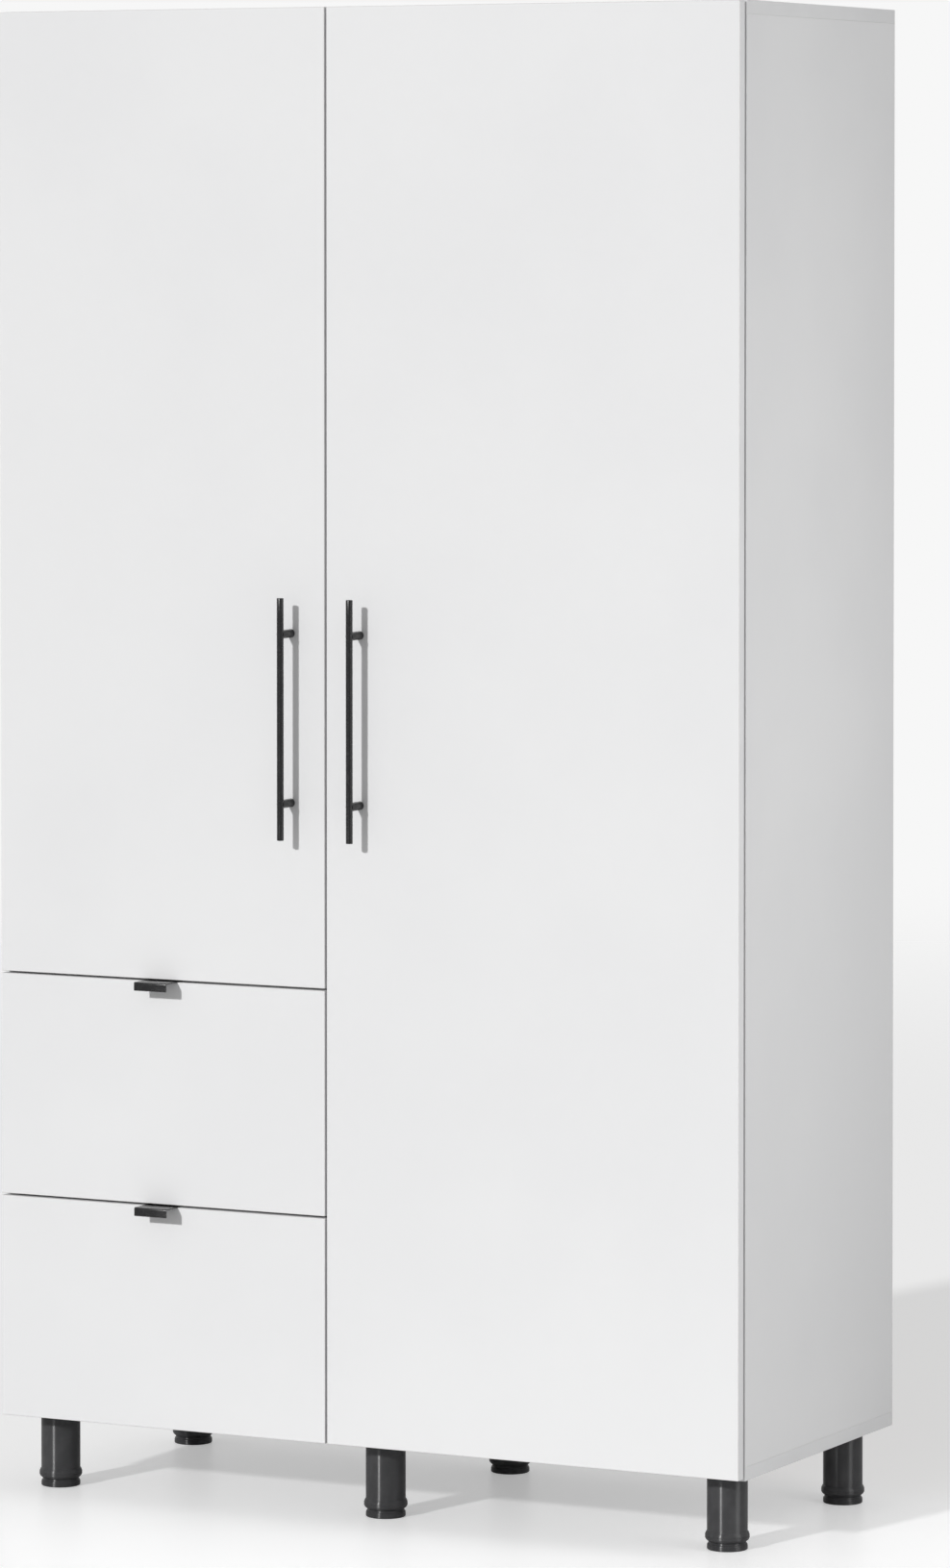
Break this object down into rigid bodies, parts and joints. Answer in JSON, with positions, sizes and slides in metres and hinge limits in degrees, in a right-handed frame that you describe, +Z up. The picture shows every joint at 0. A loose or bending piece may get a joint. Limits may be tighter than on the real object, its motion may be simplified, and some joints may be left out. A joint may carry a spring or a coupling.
{
  "type": "wardrobe with doors",
  "caption": "Two-bay white wardrobe on black legs: a door over drawers on the left, a full-height door on the right, shelves and a hanging rail inside.",
  "frame": {"origin": "on the floor, at the middle of the overall box's width and depth", "axes": "+X to the right seen from the front, +Y to the back, +Z up; the doors and drawers face -Y"},
  "size_m": [1.1, 0.5276, 2],
  "materials": {
    "board_white": "white melamine-coated chipboard with matching edging",
    "front_white": "satin white coated board with matching edging",
    "back_white": "white lacquered hardboard",
    "chrome_rail": "bright chrome",
    "zinc_die_cast": "nickel-plated zinc casting",
    "nickel_steel": "nickel-plated pressed steel",
    "beech": "plain beech dowel",
    "zinc_screws": "zinc-plated steel",
    "zinc_rails": "zinc-plated rolled steel",
    "leg_black": "satin black moulded plastic",
    "foot_black": "satin black moulded plastic",
    "handle_black": "matt black powder coat",
    "bumper_clear": "clear soft plastic"
  },
  "bodies": {
    "carcass": {"bottom_panel": "board_white", "top_panel": "board_white", "left_side_panel": "board_white", "right_side_panel": "board_white", "centre_partition": "board_white", "drawer_bay_shelf": "board_white", "left_back_panel": "back_white", "right_back_panel": "back_white", "lower_shelf": "board_white", "middle_shelf": "board_white", "upper_shelf": "board_white", "hat_shelf": "board_white", "hanging_rail": "chrome_rail", "rail_sockets": "zinc_die_cast", "shelf_pins": "nickel_steel", "cam_fittings": "zinc_die_cast", "dowels": "beech", "carcass_fixings": "zinc_screws", "leg_front_left": "leg_black", "leg_front_middle": "leg_black", "leg_front_right": "leg_black", "leg_rear_left": "leg_black", "leg_rear_middle": "leg_black", "leg_rear_right": "leg_black", "hinge_arms": "nickel_steel", "hinge_plates": "nickel_steel", "upper_outer_rails": "zinc_rails", "lower_outer_rails": "zinc_rails"},
    "left_door": {"left_door": "front_white", "left_hinge_cups": "nickel_steel", "left_handle_bar": "handle_black", "left_handle_posts": "handle_black", "left_door_screws": "zinc_screws", "left_door_bumpers": "bumper_clear"},
    "right_door": {"right_door": "front_white", "right_hinge_cups": "nickel_steel", "right_handle_bar": "handle_black", "right_handle_posts": "handle_black", "right_door_screws": "zinc_screws", "right_door_bumpers": "bumper_clear"},
    "upper_drawer": {"upper_drawer_front": "front_white", "upper_drawer_sides": "board_white", "upper_drawer_back": "board_white", "upper_drawer_bottom": "back_white", "upper_drawer_pull": "handle_black", "upper_inner_rails": "zinc_rails"},
    "lower_drawer": {"lower_drawer_front": "front_white", "lower_drawer_sides": "board_white", "lower_drawer_back": "board_white", "lower_drawer_bottom": "back_white", "lower_drawer_pull": "handle_black", "lower_inner_rails": "zinc_rails"},
    "upper_runner_middles": {"upper_middle_rails": "zinc_rails"},
    "lower_runner_middles": {"lower_middle_rails": "zinc_rails"},
    "foot_front_left": {"foot_front_left": "foot_black"},
    "foot_front_middle": {"foot_front_middle": "foot_black"},
    "foot_front_right": {"foot_front_right": "foot_black"},
    "foot_rear_left": {"foot_rear_left": "foot_black"},
    "foot_rear_middle": {"foot_rear_middle": "foot_black"},
    "foot_rear_right": {"foot_rear_right": "foot_black"}
  },
  "joints": [
    {"name": "left_door_hinge", "type": "hinge", "parent": "carcass", "child": "left_door", "pos_m": [-0.542, -0.2223, 0.706], "axis": [0, 0, -1], "range_deg": [0, 95]},
    {"name": "right_door_hinge", "type": "hinge", "parent": "carcass", "child": "right_door", "pos_m": [0.542, -0.2223, 0.103], "axis": [0, 0, 1], "range_deg": [0, 95]},
    {"name": "upper_drawer_slide", "type": "slide", "parent": "carcass", "child": "upper_drawer", "axis": [0, -1, 0], "range_m": [0, 0.4]},
    {"name": "upper_runner_slide", "type": "slide", "parent": "carcass", "child": "upper_runner_middles", "axis": [0, -1, 0], "range_m": [0, 0.2]},
    {"name": "lower_drawer_slide", "type": "slide", "parent": "carcass", "child": "lower_drawer", "axis": [0, -1, 0], "range_m": [0, 0.4]},
    {"name": "lower_runner_slide", "type": "slide", "parent": "carcass", "child": "lower_runner_middles", "axis": [0, -1, 0], "range_m": [0, 0.2]},
    {"name": "foot_front_left_screw", "type": "slide", "parent": "carcass", "child": "foot_front_left", "axis": [0, 0, -1], "range_m": [0, 0.015]},
    {"name": "foot_front_middle_screw", "type": "slide", "parent": "carcass", "child": "foot_front_middle", "axis": [0, 0, -1], "range_m": [0, 0.015]},
    {"name": "foot_front_right_screw", "type": "slide", "parent": "carcass", "child": "foot_front_right", "axis": [0, 0, -1], "range_m": [0, 0.015]},
    {"name": "foot_rear_left_screw", "type": "slide", "parent": "carcass", "child": "foot_rear_left", "axis": [0, 0, -1], "range_m": [0, 0.015]},
    {"name": "foot_rear_middle_screw", "type": "slide", "parent": "carcass", "child": "foot_rear_middle", "axis": [0, 0, -1], "range_m": [0, 0.015]},
    {"name": "foot_rear_right_screw", "type": "slide", "parent": "carcass", "child": "foot_rear_right", "axis": [0, 0, -1], "range_m": [0, 0.015]}
  ],
  "couplings": [
    {"joint": "upper_runner_slide", "follows": "upper_drawer_slide", "ratio": 0.5},
    {"joint": "lower_runner_slide", "follows": "lower_drawer_slide", "ratio": 0.5}
  ]
}
